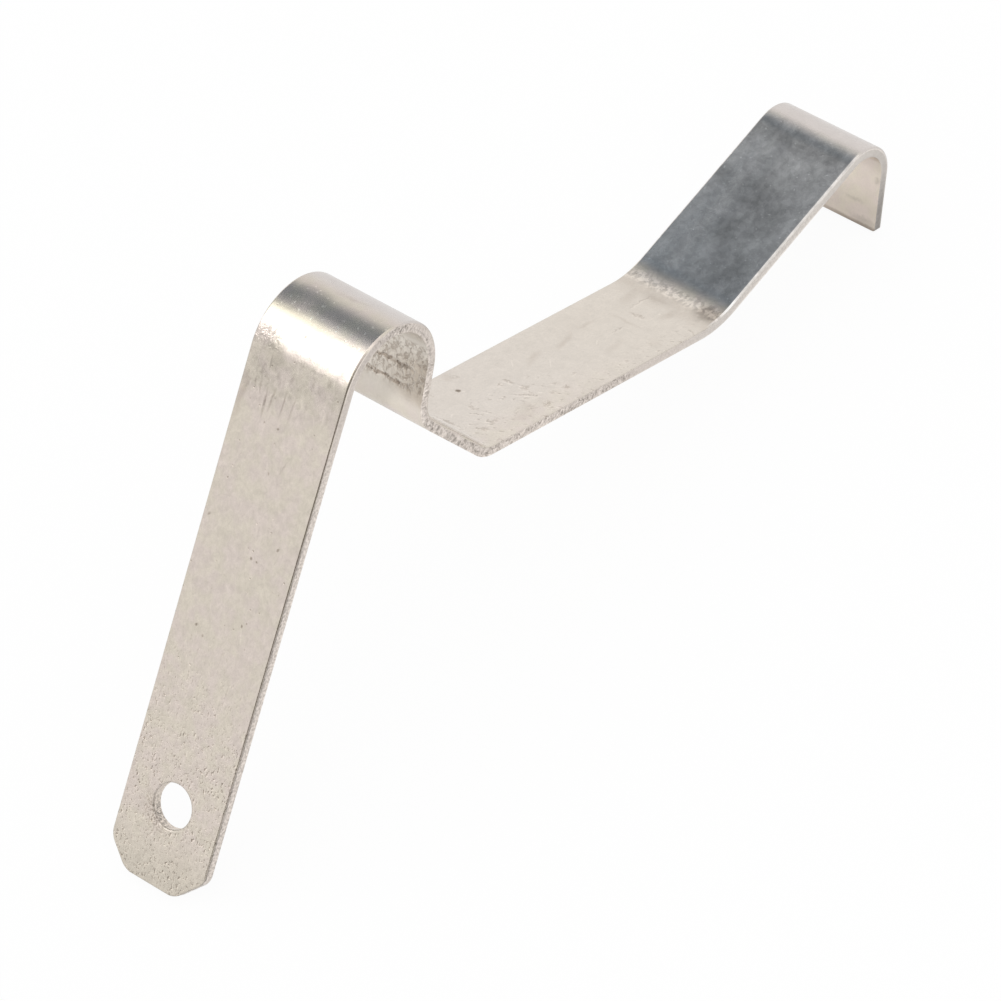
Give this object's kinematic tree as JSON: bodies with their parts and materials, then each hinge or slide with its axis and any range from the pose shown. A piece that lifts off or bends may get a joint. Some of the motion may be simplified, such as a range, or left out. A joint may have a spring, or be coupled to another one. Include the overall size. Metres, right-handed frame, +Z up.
{
  "type": "contact spring",
  "caption": "Bent flat contact spring of one sheared metal strip: a long leg with a fixing hole, a rounded crown, a cranked arm and a short hooked lip.",
  "frame": {"origin": "bottom centre of the box around the spring as it stands on its leg's end and its lip", "axes": "+X from the leg's end towards the lip, +Y across the strip's width, +Z up"},
  "size_m": [0.0738, 0.008, 0.0318],
  "materials": {
    "plated_spring_steel": "satin nickel plate over rolled spring steel strip, with fine pits and scratches"
  },
  "bodies": {
    "root": {"contact_spring": "plated_spring_steel"}
  },
  "joints": []
}
